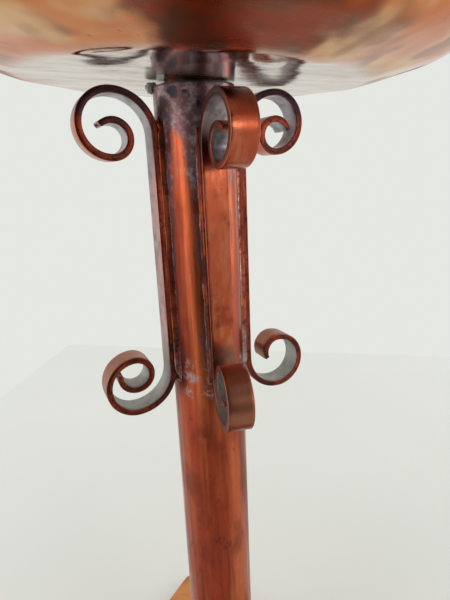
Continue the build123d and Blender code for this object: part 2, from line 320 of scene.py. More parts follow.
def bowl_inside():
    """The bowl's inside: copper browned by fires, with soot low down."""
    look = Look("bowl_inside")
    z = look.axis(2)
    broad = look.noise(16, 4, 0.55, wobble=0.8)
    cloud = look.noise(60, 5, 0.62)
    brushed = look.noise(500, 2, 0.5, place=look.stretch((0.3, 0.3, 3.0)))
    colour = look.mix(look.ramp(broad, 0.3, 0.7), COPPER, PATINA)
    colour = look.mix(look.ramp(cloud, 0.5, 0.7, 0.0, 0.7), colour, PATINA_DEEP)
    height = look.add(z, look.ramp(broad, 0.2, 0.8, -0.02, 0.02))
    tint = look.ramp(height, BOWL_FLOOR + 0.02, BOWL_FLOOR + 0.07, 1.0, 0.0)
    colour = look.mix(look.times(tint, 0.75), colour, HEAT_VIOLET)
    low_down = look.ramp(z, BOWL_FLOOR, BOWL_FLOOR + 0.035, 1.0, 0.0)
    soot = look.times(low_down, look.ramp(cloud, 0.35, 0.6))
    colour = look.mix(look.times(soot, 0.9), colour, OXIDE)
    rough = look.plus(look.ramp(cloud, 0.3, 0.7, 0.24, 0.42), (soot, 0.35))
    normal = look.bumps((cloud, 0.15, 0.0008), (brushed, 0.06, 0.0003))
    return look.finish(colour, look.ramp(soot, 0.0, 1.0, 1.0, 0.35), rough, normal)


# Dark heat marks on the top of the tube: angle in degrees, distance below the top, radius
HEAT_MARKS = (
    (222.0, 0.0044, 0.0042),
    (240.0, 0.0060, 0.0022),
    (258.0, 0.0110, 0.0026),
    (40.0, 0.0060, 0.0050),
    (130.0, 0.0090, 0.0045),
    (318.0, 0.0050, 0.0050),
)
# Pale flux round the feet of the straps: angles, then distances below the top and radii
FLUX_ANGLES = (219.0, 252.0, 40.0, 130.0, 318.0)
FLUX_SPOTS = ((0.146, 0.0045), (0.154, 0.0060), (0.163, 0.0050))


def tube_point(angle, drop):
    """A point on the tube's surface, drop below its top."""
    turned = radians(angle)
    return (TUBE_RADIUS * cos(turned), TUBE_RADIUS * sin(turned), TUBE_TOP - drop)


def tube_copper():
    """Copper tube with a red-brown patina: long streaks, flux and heat stains near the solder."""
    look = Look("tube_copper")
    x, y, z = (look.axis(i) for i in range(3))
    streak = look.noise(170, 4, 0.6, place=look.stretch((1.0, 1.0, 0.05)))
    band = look.noise(60, 3, 0.5, place=look.stretch((1.0, 1.0, 0.09)), wobble=0.4)
    cloud = look.noise(42, 5, 0.62, place=look.stretch((1.0, 1.0, 0.55)))
    fine = look.noise(1500, 2, 0.5, place=look.stretch((1.0, 1.0, 0.03)))
    speck = look.noise(420, 4, 0.6)
    colour = look.mix(look.ramp(band, 0.42, 0.66), TUBE_MAROON, TUBE_ORANGE)
    colour = look.mix(look.ramp(streak, 0.42, 0.66, 0.0, 0.7), colour, PATINA_DEEP)
    colour = look.mix(look.ramp(cloud, 0.50, 0.68, 0.0, 0.6), colour, PATINA_DEEP)
    colour = look.mix(look.ramp(speck, 0.64, 0.76, 0.0, 0.7), colour, OXIDE)
    blotchy = look.noise(120, 3, 0.6, place=look.stretch((1.0, 1.0, 0.6)))
    blot = look.ramp(blotchy, 0.62, 0.70, 0.0, 0.5)
    colour = look.mix(blot, colour, PATINA_DEEP)
    # Lines of flux beside the straps, between their scrolls
    across = look.sum("MINIMUM", look.sum("ABSOLUTE", x), look.sum("ABSOLUTE", y))
    sway = look.ramp(look.noise(70, 3, 0.6), 0.2, 0.8, -0.0016, 0.0016)
    line = look.add(across, sway)
    outer = look.ramp(line, 0.0092, 0.0118, 1.0, 0.0)
    low = look.ramp(z, SEAM_LOW - 0.022, SEAM_LOW - 0.004)
    high = look.ramp(z, SEAM_HIGH + 0.012, SEAM_HIGH + 0.03, 1.0, 0.0)
    reach = look.times(low, high)
    patchy = look.ramp(look.noise(110, 4, 0.65, place=look.stretch((1, 1, 0.35))), 0.36, 0.62)
    edge_stain = look.times(look.times(outer, reach), patchy)
    colour = look.mix(look.times(edge_stain, 0.85), colour, EDGE_STAIN)
    # Violet-grey flux and heat stain on the top of the tube
    rise = look.add(z, look.ramp(band, 0.25, 0.75, -0.022, 0.022))
    top = look.ramp(rise, TUBE_TOP - 0.055, TUBE_TOP - 0.012)
    runs = look.noise(80, 5, 0.68, place=look.stretch((1, 1, 0.25)))
    veil = look.times(top, look.ramp(runs, 0.46, 0.56))
    flux = look.mix(look.ramp(look.noise(180, 5, 0.65), 0.45, 0.68), FLUX, FLUX_PALE)
    colour = look.mix(look.times(veil, 0.8), colour, flux)
    beside = look.times(outer, look.ramp(z, TUBE_TOP - 0.075, TUBE_TOP - 0.035))
    colour = look.mix(look.times(beside, 0.7), colour, flux)
    marks = look.most(look.spot(tube_point(angle, drop), size) for angle, drop, size in HEAT_MARKS)
    colour = look.mix(look.times(marks, 0.9), colour, OXIDE_BLUE)
    # Painted shade: the tube's top edge, in the gap under the bowl, is painted almost black and
    # made less metallic
    top_edge_shade = look.ramp(z, TUBE_TOP - 0.0012, TUBE_TOP - 0.0005)
    colour = look.mix(top_edge_shade, colour, TOP_EDGE_SHADE)
    # Pale flux round the feet of the straps
    pale = look.most(
        look.spot(tube_point(angle, drop), size, edge=0.2, ragged=0.005, scale=120.0)
        for angle in FLUX_ANGLES
        for drop, size in FLUX_SPOTS
    )
    pale = look.times(pale, look.ramp(speck, 0.40, 0.58))
    colour = look.mix(look.times(pale, 0.75), colour, FLUX_PALE)
    dull = look.most((veil, marks, edge_stain, pale))
    rough = look.plus(look.ramp(streak, 0.3, 0.7, 0.24, 0.36), (dull, 0.14))
    rough = look.add(rough, look.ramp(cloud, 0.42, 0.62, 0.0, 0.12))
    less_metal = look.ramp(dull, 0.0, 1.0, 1.0, 0.75)
    metal = look.sum("SUBTRACT", less_metal, look.times(top_edge_shade, 0.7))
    normal = look.bumps(
        (band, 0.22, 0.0016),
        (cloud, 0.16, 0.0012),
        (streak, 0.08, 0.0005),
        (fine, 0.05, 0.0002),
        (speck, 0.05, 0.0003),
    )
    return look.finish(colour, metal, rough, normal, Coat_Weight=0.15, Coat_Roughness=0.12)


def strap_copper():
    """Flat bar: copper on the back and round the scrolls, tinned on the open face, dark edges."""
    look = Look("strap_copper")
    z = look.axis(2)
    face, curl = look.attribute("face"), look.attribute("curl")
    along = look.attribute("flow", "Vector")
    rub = look.noise(150, 4, 0.62, place=look.stretch((0.35, 1.0, 1.0), place=along))
    cloud = look.noise(60, 5, 0.62)
    fine = look.noise(1400, 2, 0.5, place=look.stretch((0.05, 1.0, 1.0), place=along))
    speck = look.noise(380, 4, 0.62)
    # Polished copper with heat stains, painted shade at the tops of the scrolls under the bowl, and
    # painted shade on the open face under each scroll
    copper = look.mix(look.ramp(rub, 0.30, 0.60), STRAP_POLISHED, PATINA)
    copper = look.mix(look.ramp(cloud, 0.52, 0.70, 0.0, 0.65), copper, PATINA_DEEP)
    copper = look.mix(look.ramp(speck, 0.66, 0.76, 0.0, 0.6), copper, OXIDE)
    # Painted shade: the straps darken towards their tops, under the bowl
    top_shade_height = look.add(z, look.ramp(cloud, 0.3, 0.7, -0.003, 0.003))
    crown = look.ramp(top_shade_height, TUBE_TOP - 0.020, TUBE_TOP - 0.009)
    copper = look.mix(look.times(crown, 0.75), copper, TOP_SHADE)
    low = look.ramp(z, SEAM_LOW + 0.006, SEAM_LOW + 0.020, 1.0, 0.0)
    copper = look.mix(look.times(low, 0.65), copper, FOOT_BROWN)
    # Painted shade: the open face darkens under each scroll, at the ends of the straight
    ragged = look.add(z, look.ramp(cloud, 0.3, 0.7, -0.008, 0.008))
    upper_end = look.ramp(ragged, SEAM_HIGH - 0.020, SEAM_HIGH - 0.008)
    lower_end = look.ramp(ragged, SEAM_LOW, SEAM_LOW + 0.016, 1.0, 0.0)
    ends = look.most((upper_end, lower_end))
    scroll_shade = look.times(ends, look.ramp(face, 0.5, 0.9))
    copper = look.mix(look.times(scroll_shade, 0.8), copper, SCROLL_SHADE)
    # Tinned open face, mottled, inside the scrolls; it is copper along the straight
    tin = look.mix(look.ramp(cloud, 0.35, 0.65), TIN, FLUX_PALE)
    tin = look.mix(look.ramp(look.noise(120, 5, 0.68), 0.46, 0.62, 0.0, 0.85), tin, TIN_DARK)
    tin = look.mix(look.ramp(look.noise(90, 4, 0.6), 0.56, 0.7, 0.0, 0.5), tin, TIN_GREEN)
    tinned = look.times(look.ramp(face, 0.8, 0.98), curl)
    tin = look.mix(look.times(low, 0.55), tin, TIN_BROWNED)
    colour = look.mix(tinned, copper, tin)
    # Dark sides, brighter along the rubbed corners
    side = look.times(look.ramp(face, -0.9, -0.5), look.ramp(face, 0.5, 0.9, 1.0, 0.0))
    dark = look.mix(look.ramp(rub, 0.40, 0.75), PATINA_DEEP, PATINA)
    dark = look.mix(look.ramp(speck, 0.50, 0.66, 0.0, 0.85), dark, OXIDE)
    dark = look.mix(look.ramp(cloud, 0.48, 0.62, 0.0, 0.7), dark, OXIDE)
    # Painted shade: the sides also darken blue-black towards the top, under the bowl
    dark = look.mix(look.times(crown, 0.65), dark, OXIDE_BLUE)
    colour = look.mix(side, colour, dark)
    from_corner = look.sum("SUBTRACT", look.sum("ABSOLUTE", face), 0.72)
    corner = look.ramp(look.sum("ABSOLUTE", from_corner), 0.0, 0.22, 1.0, 0.0)
    worn = look.times(corner, look.ramp(rub, 0.42, 0.6))
    colour = look.mix(look.times(worn, 0.3), colour, COPPER)
    rough = look.ramp(rub, 0.3, 0.7, 0.20, 0.33)
    rough = look.plus(rough, (tinned, 0.12), (side, 0.10), (low, 0.10))
    normal = look.bumps((cloud, 0.10, 0.0010), (rub, 0.10, 0.0005), (fine, 0.05, 0.0002))
    return look.finish(colour, look.ramp(tinned, 0.0, 1.0, 1.0, 0.85), rough, normal)


def base_copper():
    """Hammered copper plate, its golden tone a painted sheen of the light that falls on it from
    above.
    """
    look = Look("base_copper")
    broad = look.noise(16, 4, 0.55, wobble=0.5)
    cloud = look.noise(60, 5, 0.62)
    speck = look.noise(450, 4, 0.6)
    grain = look.noise(600, 3, 0.55, place=look.stretch((0.5, 0.12, 0.5), rotation=(0, 0, 0.66)))
    colour = look.mix(look.ramp(broad, 0.35, 0.65), GOLDEN_SHEEN, GOLDEN_SHEEN_RED)
    colour = look.mix(look.ramp(cloud, 0.52, 0.70, 0.0, 0.6), colour, PATINA)
    colour = look.mix(look.ramp(speck, 0.64, 0.76, 0.0, 0.6), colour, PATINA_DEEP)
    rough = look.ramp(grain, 0.3, 0.7, 0.24, 0.36)
    hammered = look.cells(75)
    normal = look.bumps((hammered, 0.35, 0.0012), (cloud, 0.12, 0.0008), (grain, 0.08, 0.0003))
    return look.finish(colour, 1.0, rough, normal)


def rim_copper():
    """Rolled copper rod, polished by hands, with brown patches and specks."""
    look = Look("rim_copper")
    cloud = look.noise(48, 5, 0.6)
    grain = look.noise(700, 3, 0.55, place=look.stretch((0.4, 0.4, 2.0)))
    colour = look.mix(look.ramp(cloud, 0.38, 0.66), COPPER, PATINA)
    colour = look.mix(look.ramp(look.noise(300, 4, 0.6), 0.62, 0.76, 0.0, 0.7), colour, PATINA_DEEP)
    rough = look.ramp(grain, 0.3, 0.7, 0.16, 0.30)
    normal = look.bumps((grain, 0.08, 0.0003), (cloud, 0.12, 0.0010))
    return look.finish(colour, 1.0, rough, normal)


TURNING_MARKS = 9000.0  # radians of the ring pattern per metre of radius


def fitting_copper():
    """Turned copper: fine rings, stained dark by flux."""
    look = Look("fitting_copper")
    x, y = look.axis(0), look.axis(1)
    rings = look.sum("SINE", look.times(look.from_axis(x, y), TURNING_MARKS))
    cloud = look.noise(110, 4, 0.6)
    colour = look.mix(look.ramp(cloud, 0.35, 0.65), PATINA_DEEP, OXIDE)
    colour = look.mix(0.5, colour, OXIDE)
    rough = look.ramp(cloud, 0.3, 0.7, 0.4, 0.6)
    normal = look.bumps((rings, 0.08, 0.0002), (cloud, 0.15, 0.0006))
    return look.finish(colour, 1.0, rough, normal)


def solder_grey():
    """Grey solder with dark flux stains, palest and least metallic by the top of the tube."""
    look = Look("solder")
    cloud = look.noise(130, 5, 0.62)
    lump = look.noise(420, 4, 0.6)
    streak = look.noise(90, 4, 0.6, place=look.stretch((1.0, 1.0, 0.3)))
    z = look.axis(2)
    grey = look.mix(look.ramp(lump, 0.35, 0.62), SOLDER_LIGHT, SOLDER_DARK)
    stain = look.mix(look.ramp(streak, 0.42, 0.6), SOLDER_RED, SOLDER_BLACK)
    bare = look.ramp(cloud, 0.44, 0.58, 0.85, 0.0)
    near_top = look.ramp(z, TUBE_TOP - 0.006, TUBE_TOP - 0.003, 0.0, 0.9)
    colour = look.mix(bare, stain, grey)
    colour = look.mix(near_top, colour, TACK_GREY)
    rough = look.ramp(lump, 0.3, 0.7, 0.28, 0.48)
    normal = look.bumps((lump, 0.25, 0.0006), (cloud, 0.2, 0.0010))
    metal = look.sum("SUBTRACT", 0.9, look.times(near_top, 0.8))
    return look.finish(colour, metal, rough, normal)


def seam_solder():
    """Solder beside a strap: stained maroon and black, with a thin grey line at its foot."""
    look = Look("seam_solder")
    z = look.axis(2)
    line = look.attribute("line")
    cloud = look.noise(70, 5, 0.62)
    speck = look.noise(380, 4, 0.62)
    streak = look.noise(130, 4, 0.6, place=look.stretch((1.0, 1.0, 0.25)))
    stain = look.mix(look.ramp(streak, 0.40, 0.62), PATINA, PATINA_DEEP)
    stain = look.mix(look.ramp(speck, 0.52, 0.68, 0.0, 0.8), stain, OXIDE)
    stain = look.mix(look.ramp(cloud, 0.50, 0.60, 0.0, 0.85), stain, OXIDE)
    grey = look.mix(look.ramp(speck, 0.35, 0.62), SEAM_LIGHT, SEAM_DARK)
    reach = look.ramp(cloud, 0.35, 0.62, 0.34, 0.06)
    beside = look.ramp(look.sum("SUBTRACT", line, reach), -0.08, 0.08, 1.0, 0.0)
    foot = look.ramp(z, SEAM_LOW, SEAM_LOW + 0.03, 0.6, 0.0)
    pool = look.times(foot, look.ramp(streak, 0.44, 0.56))
    colour = look.mix(look.sum("MAXIMUM", look.times(beside, 0.8), pool), stain, grey)
    rough = look.ramp(speck, 0.3, 0.7, 0.30, 0.48)
    normal = look.bumps((speck, 0.20, 0.0005), (cloud, 0.15, 0.0010))
    return look.finish(colour, 0.9, rough, normal)


def stainless():
    """Bolt head: turned stainless steel, browned by the fire."""
    look = Look("stainless")
    cloud = look.noise(200, 5, 0.6)
    grain = look.noise(1200, 2, 0.5, place=look.stretch((0.2, 1.0, 1.0)))
    colour = look.mix(look.ramp(cloud, 0.4, 0.62), BOLT_BRIGHT, BOLT_BROWN)
    rough = look.ramp(grain, 0.3, 0.7, 0.22, 0.4)
    return look.finish(colour, 1.0, rough, look.bumps((grain, 0.08, 0.0002)))


def fired_steel(name, tone, rust):
    """Steel blackened by fire, with scale, and as much rust as rust says."""
    look = Look(name)
    cloud = look.noise(70, 5, 0.62)
    scale = look.noise(420, 5, 0.65)
    pits = look.cells(900)
    dark = look.mix(look.ramp(cloud, 0.35, 0.65), tone, tuple(2.1 * part for part in tone))
    rusty = look.ramp(look.noise(120, 5, 0.7), 0.54, 0.70, 0.0, rust)
    rust_colour = look.mix(look.ramp(scale, 0.4, 0.6), RUST, RUST_DARK)
    colour = look.mix(rusty, dark, rust_colour)
    colour = look.mix(look.ramp(scale, 0.60, 0.74, 0.0, 0.35), colour, SCALE_GREY)
    rough = look.ramp(scale, 0.3, 0.7, 0.42, 0.68)
    normal = look.bumps((scale, 0.35, 0.0006), (pits, 0.12, 0.0003))
    return look.finish(colour, look.ramp(rusty, 0.0, 1.0, 0.85, 0.2), rough, normal)


def stage_paint(name, colour, other, glow=0.0):
    """Matt paint with a faint mottle, for the table and the dark card."""
    look = Look(name)
    mottle = look.noise(3, 3, 0.5)
    paint = look.mix(look.ramp(mottle, 0.3, 0.7), colour, other)
    return look.finish(paint, 0.0, 0.75, Emission_Color=colour, Emission_Strength=glow)


BOWL = polished_bowl()
BOWL_INSIDE = bowl_inside()
TUBE = tube_copper()
STRAP = strap_copper()
BASE = base_copper()
RIM = rim_copper()
FITTING = fitting_copper()
SOLDER = solder_grey()
SEAM = seam_solder()
STAINLESS = stainless()
GRATE = fired_steel("grate_steel", GRATE_BLACK, 0.75)
HANDLE = fired_steel("handle_steel", HANDLE_BLACK, 0.35)


# ---- Mesh helpers -------------------------------------------------------------------


def smoothstep(value, low, high):
    """0 at low and below, 1 at high and above, and smooth between them."""
    t = min(1.0, max(0.0, (value - low) / (high - low)))
    return t * t * (3 - 2 * t)


def make_piece(name, vertices, faces, materials, body, replaced):
    """Makes a smooth mesh piece that rides on a body and stands for the CAD nodes in replaced."""
    mesh = bpy.data.meshes.new(name)
    mesh.from_pydata(vertices, [], faces)
    for material in materials:
        mesh.materials.append(material)
    mesh.shade_smooth()
    piece = bpy.data.objects.new(name, mesh)
    bpy.context.scene.collection.objects.link(piece)
    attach(piece, body)
    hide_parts(*replaced)
    return piece


def grid_faces(rows, columns):
    """Quads between closed rows of columns vertices each."""
    faces = []
    for row in range(rows - 1):
        for column in range(columns):
            after = (column + 1) % columns
            a, b = row * columns, (row + 1) * columns
            faces.append((a + column, a + after, b + after, b + column))
    return faces


def bar_faces(rows, columns):
    """Quads round a bar of rows rings, and a face over each of its ends."""
    faces = grid_faces(rows, columns)
    faces.append(tuple(range(columns)))
    faces.append(tuple(reversed(range((rows - 1) * columns, rows * columns))))
    return faces


def directions(angle):
    """The ways outwards and sideways at an angle in degrees round the column."""
    outward = Vector((cos(radians(angle)), sin(radians(angle)), 0.0))
    return outward, Vector((-outward.y, outward.x, 0.0))


def coat(mesh, material):
    """Gives a smooth mesh one material in place of its own."""
    mesh.materials.clear()
    mesh.materials.append(material)
    mesh.shade_smooth()


def give(piece, name, values):
    """Writes a number on every vertex of a piece, for its material to read."""
    piece.data.attributes.new(name, "FLOAT", "POINT").data.foreach_set("value", values)


# ---- Bowl ---------------------------------------------------------------------------

BOWL_SHEET = 0.0015
FLOOR_RADIUS = 0.0865
CONE_SLOPE, CONE_LENGTH = radians(16.0), 0.0315
WALL_START, WALL_END, WALL_RADIUS = radians(26.0), radians(62.0), 0.209
KNEE = 0.025  # radius of the bend between the floor and the cone
HOLE = 0.0041
FLOOR_STEPS, KNEE_STEPS, CONE_STEPS, WALL_STEPS = 28, 8, 10, 45
AROUND = 288  # vertices round the bowl
FACETS = 11  # soft facets hammered round the cone
LEAN = (-0.034, 0.059)  # how the floor leans on the column, in height per length


def bowl_profile():
    """Points (radius, height, slope) of the bowl's outside from the bolt hole to the rim."""
    points = []
    bend = KNEE * tan(CONE_SLOPE / 2)
    for step in range(FLOOR_STEPS):
        radius = HOLE + (FLOOR_RADIUS - bend - HOLE) * step / FLOOR_STEPS
        points.append((radius, BOWL_FLOOR, 0.0))
    for step in range(KNEE_STEPS + 1):
        slope = CONE_SLOPE * step / KNEE_STEPS
        radius = FLOOR_RADIUS - bend + KNEE * sin(slope)
        points.append((radius, BOWL_FLOOR + KNEE * (1 - cos(slope)), slope))
    corner = (
        FLOOR_RADIUS + CONE_LENGTH * cos(CONE_SLOPE),
        BOWL_FLOOR + CONE_LENGTH * sin(CONE_SLOPE),
    )
    start = points[-1]
    for step in range(1, CONE_STEPS):
        share = step / CONE_STEPS
        radius = start[0] + (corner[0] - start[0]) * share
        points.append((radius, start[1] + (corner[1] - start[1]) * share, CONE_SLOPE))
    for step in range(WALL_STEPS + 1):
        slope = WALL_START + (WALL_END - WALL_START) * step / WALL_STEPS
        radius = corner[0] + WALL_RADIUS * (sin(slope) - sin(WALL_START))
        height = corner[1] + WALL_RADIUS * (cos(WALL_START) - cos(slope))
        points.append((radius, height, slope if step else (CONE_SLOPE + WALL_START) / 2))
    return points


def bowl_shift(x, y, radius):
    """Height that the hand-worked sheet lies above its plain shape."""
    lean = smoothstep(radius, 0.008, 0.020) * (1 - smoothstep(radius, 0.120, 0.165))
    rise = (LEAN[0] * x + LEAN[1] * y) * lean
    wave = smoothstep(radius, 0.03, 0.09) * (1 - 0.8 * smoothstep(radius, 0.150, 0.185))
    place = Vector((x, y, 0.0))
    rise += 0.00055 * wave * noise.noise(place * 21.0)
    rise += 0.00022 * wave * noise.noise(place * 55.0 + Vector((7.0, 3.0, 1.0)))
    angle = atan2(y, x)
    facet = smoothstep(radius, 0.070, 0.088) * (1 - smoothstep(radius, 0.100, 0.135))
    rise += 0.0006 * facet * (abs(sin(FACETS / 2 * angle + 0.8)) - 0.6)
    return rise


def make_bowl():
    """The bowl as one sheet, outside and inside, closed at the bolt hole and at the rim."""
    outside = bowl_profile()
    inside = [
        (r - BOWL_SHEET * sin(slope), z + BOWL_SHEET * cos(slope), slope)
        for r, z, slope in reversed(outside)
    ]
    vertices = []
    for r, z, slope in outside + inside:
        for step in range(AROUND):
            angle = 2 * pi * step / AROUND
            x, y = r * cos(angle), r * sin(angle)
            vertices.append((x, y, z + bowl_shift(x, y, r)))
    rows = len(outside) + len(inside)
    faces = grid_faces(rows, AROUND)
    last = (rows - 1) * AROUND
    faces += [
        (last + step, last + (step + 1) % AROUND, (step + 1) % AROUND, step)
        for step in range(AROUND)
    ]
    piece = make_piece(
        "bowl_sheet", vertices, faces, (BOWL, BOWL_INSIDE), "stand", ("bowl",)
    )
    for polygon in piece.data.polygons[len(outside) * AROUND :]:
        polygon.material_index = 1


make_bowl()


# ---- Scrolled straps ----------------------------------------------------------------

STRAP_WIDTH, STRAP_THICK = 0.0135, 0.0035
ROOT, OUTER, INNER = 0.0228, 0.0172, 0.0104  # radii of a scroll, from its root to its tip
ROOT_STEPS, OUTER_STEPS, INNER_STEPS, STRAIGHT_STEPS = 30, 64, 70, 80
STRAP_BACK = TUBE_RADIUS + 0.0014
SCROLL_CENTRE = STRAP_BACK + ROOT
CORNER = 0.0005
# Angle of each strap round the column, then the turns of its upper and lower scrolls (degrees)
STRAPS = (
    ("front", 270.0, 490.0, 500.0),
    ("right", 3.0, 520.0, 385.0),
    ("back", 90.0, 500.0, 500.0),
    ("left", 182.0, 487.0, 545.0),
)
FRONT_TWIST = radians(-9.0)  # the front strap's lower scroll is bent towards -X
LEFT_TINNED = 0.5  # the left strap is half tinned along its straight too


def scroll_line(end, way, turned):
    """Points (out, height, normal out, normal up) of a scroll's back face, from root to tip."""
    line = []
    arcs = (
        (ROOT, end - way * ROOT, 180.0, 90.0, ROOT_STEPS),
        (OUTER, end - way * OUTER, 90.0, -90.0, OUTER_STEPS),
        (INNER, end - way * (2 * OUTER - INNER), -90.0, 180.0 - turned, INNER_STEPS),
    )
    for radius, height, start, stop, steps in arcs:
        for step in range(1, steps + 1):
            angle = radians(start + (stop - start) * step / steps)
            out, up = cos(angle), way * sin(angle)
            line.append((SCROLL_CENTRE + radius * out, height + radius * up, -out, -up))
    return line


def bar_section():
    """Points (depth, across, face) round the bar: face is -1 on its back and 1 on its open face."""
    half, points = STRAP_WIDTH / 2, []
    flat = [(-half + CORNER) + (STRAP_WIDTH - 2 * CORNER) * step / 8 for step in range(9)]
    turns = [radians(30.0 * step) for step in (1, 2)]
    for across in flat:
        points.append((0.0, across, -1.0))
    for t in turns:
        points.append((CORNER * (1 - cos(t)), half - CORNER * (1 - sin(t)), -0.9 + 0.12 * t))
    for share in (0.0, 0.5, 1.0):
        depth = CORNER + (STRAP_THICK - 2 * CORNER) * share
        points.append((depth, half, -0.5 + share))
    for t in turns:
        points.append(
            (STRAP_THICK - CORNER * (1 - sin(t)), half - CORNER * (1 - cos(t)), 0.75 + 0.12 * t)
        )
    for across in reversed(flat):
        points.append((STRAP_THICK, across, 1.0))
    for t in turns:
        points.append(
            (STRAP_THICK - CORNER * (1 - cos(t)), -half + CORNER * (1 - sin(t)), 0.9 - 0.12 * t)
        )
    for share in (1.0, 0.5, 0.0):
        depth = CORNER + (STRAP_THICK - 2 * CORNER) * share
        points.append((depth, -half, -0.5 + share))
    for t in turns:
        points.append((CORNER * (1 - sin(t)), -half + CORNER * (1 - cos(t)), -0.75 - 0.12 * t))
    return points


SECTION = bar_section()


def make_strap(name, angle, top_turned, foot_turned):
    """A flat bar that follows its line from the tip of one scroll to the tip of the other."""
    node = f"scroll_strap_{name}"
    low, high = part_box(node)[0].z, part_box(node)[1].z
    upper = scroll_line(high, 1, top_turned)
    lower = scroll_line(low, -1, foot_turned)
    straight_top, straight_low = high - ROOT, low + ROOT
    middle = [
        (
            STRAP_BACK,
            straight_top + (straight_low - straight_top) * step / STRAIGHT_STEPS,
            1.0,
            0.0,
        )
        for step in range(STRAIGHT_STEPS + 1)
    ]
    line = upper[::-1] + middle + lower
    lengths = [0.0]
    for before, after in zip(line, line[1:]):
        length = sqrt((after[0] - before[0]) ** 2 + (after[1] - before[1]) ** 2)
        lengths.append(lengths[-1] + length)
    whole = lengths[-1]
    outward, sideways = directions(angle)
    straight_from, straight_to = lengths[len(upper)], lengths[len(upper) + STRAIGHT_STEPS]
    seed = Vector((3.0 * angle / 90.0, 0.0, 0.0))
    vertices, faces_mark, flow, curl = [], [], [], []
    half = STRAP_THICK / 2
    hinge = outward * (STRAP_BACK + half)
    # A last, slightly smaller ring rounds each cut end.
    stations = [(0, -CORNER, CORNER)] + [(i, 0.0, 0.0) for i in range(len(line))]
    stations.append((len(line) - 1, CORNER, CORNER))
    for index, push, shrink in stations:
        out, height, normal_out, normal_up = line[index]
        s = lengths[index]
        tangent_out, tangent_up = normal_up, -normal_out
        to_end = min(s, whole - s)
        taper = 1.0 - 0.16 * (1 - smoothstep(to_end, 0.0, 0.009))
        width = 1.0 + 0.010 * noise.noise(seed + Vector((s * 45.0, 0.0, 5.0)))
        bent = smoothstep(max(straight_from - s, s - straight_to), -0.002, 0.010)
        twist = FRONT_TWIST * smoothstep(s, straight_to - 0.004, straight_to + 0.022)
        for depth, across, face in SECTION:
            depth = half + (depth - half) * taper * (1 - shrink / half)
            across *= width * (1 - shrink / (STRAP_WIDTH / 2))
            dent = 0.00006 * noise.noise(seed + Vector((s * 110.0, across * 160.0, face)))
            o = out + normal_out * (depth + dent) + tangent_out * push
            u = height + normal_up * (depth + dent) + tangent_up * push
            point = outward * o + sideways * across + Vector((0.0, 0.0, u))
            if name == "front" and twist:
                point = hinge + Matrix.Rotation(twist, 3, "Z") @ (point - hinge)
            vertices.append(point)
            faces_mark.append(face)
            flow.append((s, across, face * 0.01))
            curl.append(max(bent, LEFT_TINNED) if name == "left" else bent)
    faces = bar_faces(len(stations), len(SECTION))
    piece = make_piece(
        f"strap_{name}", vertices, faces, (STRAP,), "stand", (node,)
    )
    give(piece, "face", faces_mark)
    give(piece, "curl", curl)
    piece.data.attributes.new("flow", "FLOAT_VECTOR", "POINT").data.foreach_set(
        "vector", [part for vector in flow for part in vector]
    )


for strap in STRAPS:
    make_strap(*strap)


# ---- Solder -------------------------------------------------------------------------


BEAD_PAST, BEAD_STEP = 0.008, 0.0009  # how far a bead runs past its seam, and its ring spacing
BEAD_LINE = (0.0, 0.2, 0.4, 0.6, 0.8, 1.0, 1.0, 0.0)  # 0 by the tube and 1 by the strap
FILLING_LINE = 0.7
FILLING_RINGS, FILLING_POINTS = 15, 14


